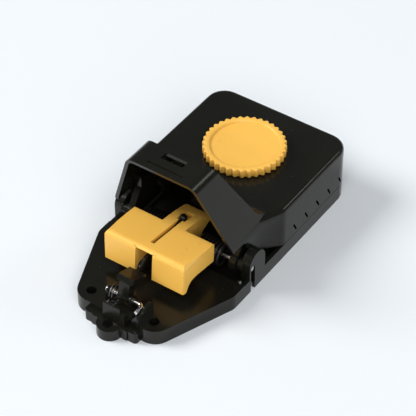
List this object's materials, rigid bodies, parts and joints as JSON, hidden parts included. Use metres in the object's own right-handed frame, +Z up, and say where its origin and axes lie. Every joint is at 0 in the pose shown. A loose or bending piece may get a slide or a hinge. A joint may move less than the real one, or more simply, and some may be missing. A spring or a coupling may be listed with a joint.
{
  "type": "snap mouse trap",
  "caption": "Set clamshell mouse trap: black base and swinging hood with bait box, orange treadle and twist cap, black torsion springs and a front trip arm.",
  "frame": {"origin": "on the ground under the middle of the set trap's bounding box", "axes": "+X to the right seen from the front, +Y from the front tongue to the back of the bait box, +Z up"},
  "size_m": [0.07, 0.1364, 0.0598],
  "materials": {
    "black_plastic": "satin moulded plastic with polished outer faces",
    "orange_plastic": "satin moulded plastic",
    "bright_steel": "drawn bright wire",
    "black_steel": "blackened spring wire"
  },
  "bodies": {
    "base": {"base": "black_plastic", "axle": "bright_steel", "trip_pin": "bright_steel", "main_spring_left": "black_steel", "main_spring_right": "black_steel", "trip_spring": "bright_steel"},
    "shell": {"shell": "black_plastic"},
    "cup": {"bait_cup": "orange_plastic"},
    "cap": {"bait_cap": "orange_plastic"},
    "treadle": {"treadle": "orange_plastic"},
    "arm": {"trip_arm": "black_plastic"}
  },
  "joints": [
    {"name": "shell_swing", "type": "hinge", "parent": "base", "child": "shell", "pos_m": [0, -0.0092, 0.0124], "axis": [1, 0, 0], "range_deg": [0, 71], "deforming": ["main_spring_left", "main_spring_right"]},
    {"name": "treadle_tilt", "type": "hinge", "parent": "base", "child": "treadle", "pos_m": [0, -0.0092, 0.0124], "axis": [1, 0, 0], "range_deg": [0, 9]},
    {"name": "arm_trip", "type": "hinge", "parent": "base", "child": "arm", "pos_m": [0, -0.0517, 0.0112], "axis": [1, 0, 0], "range_deg": [-5, 0], "deforming": ["trip_spring"]},
    {"name": "cup_lift", "type": "slide", "parent": "shell", "child": "cup", "axis": [0, 0, 1], "range_m": [0, 0.022]},
    {"name": "cap_twist", "type": "hinge", "parent": "cup", "child": "cap", "pos_m": [0, 0.0364, 0.03], "axis": [0, 0, 1], "range_deg": [0, 60]}
  ],
  "couplings": [
    {"joint": "treadle_tilt", "follows": "shell_swing", "ratio": 0.12676},
    {"joint": "arm_trip", "follows": "shell_swing", "ratio": -0.070422}
  ]
}
